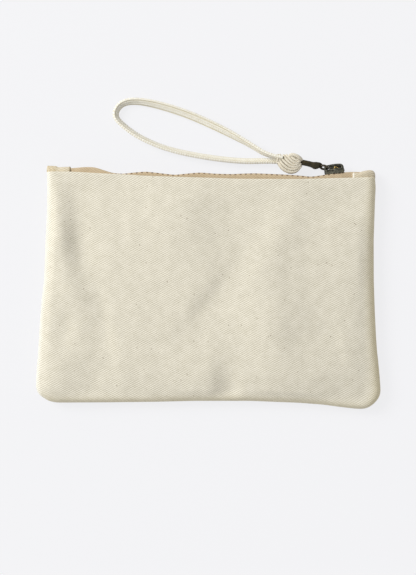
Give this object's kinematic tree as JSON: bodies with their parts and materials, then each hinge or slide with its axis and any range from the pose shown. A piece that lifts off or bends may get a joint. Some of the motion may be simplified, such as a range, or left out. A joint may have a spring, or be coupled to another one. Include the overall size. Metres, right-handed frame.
{
  "type": "zippered pouch",
  "caption": "flat canvas pouch lying on its back, shut by a metal zip along the top edge, with a cord wrist loop knotted to the zip's pull tab",
  "frame": {"origin": "middle of the flat back, on the face that the pouch rests on", "axes": "+X to the right along the zip, towards the slider's shut place; +Y from the bottom seam towards the zip; +Z out of the front panel"},
  "size_m": [0.2144, 0.1918, 0.017],
  "materials": {
    "canvas": "undyed twill",
    "tape": "woven zip tape",
    "binding": "woven binding",
    "thread": "sewing thread",
    "cord": "flat woven cord",
    "dark_metal": "aged gunmetal",
    "brass_spring": "bright spring strip"
  },
  "bodies": {
    "pouch": {"front_panel": "canvas", "back_panel": "canvas", "left_zip_end_tab": "canvas", "right_zip_end_tab": "canvas", "seam_binding": "binding", "binding_thread": "thread", "panel_seam_thread": "thread", "front_zip_seam_thread": "thread", "back_zip_seam_thread": "thread", "front_zip_tape": "tape", "back_zip_tape": "tape", "front_zip_teeth": "dark_metal", "back_zip_teeth": "dark_metal", "top_stops": "dark_metal", "bottom_stop": "dark_metal"},
    "slider": {"slider_body": "dark_metal", "slider_crown": "dark_metal", "slider_lock_spring": "brass_spring"},
    "link": {"pull_link": "dark_metal"},
    "pull": {"pull_tab": "dark_metal", "cord_knot": "cord", "wrist_cord": "cord"}
  },
  "joints": [
    {"name": "zip_slide", "type": "slide", "parent": "pouch", "child": "slider", "axis": [-1, 0, 0], "range_m": [0, 0.158], "deforming": ["front_zip_teeth", "back_zip_teeth"]},
    {"name": "link_swing", "type": "hinge", "parent": "slider", "child": "link", "pos_m": [0.07405, 0.0783, 0.0065], "axis": [0, 0, 1], "range_deg": [-70, 0]},
    {"name": "tab_swing", "type": "hinge", "parent": "link", "child": "pull", "pos_m": [0.06962, 0.07908, 0.0065], "axis": [0, 0, 1], "range_deg": [-70, 0]}
  ]
}
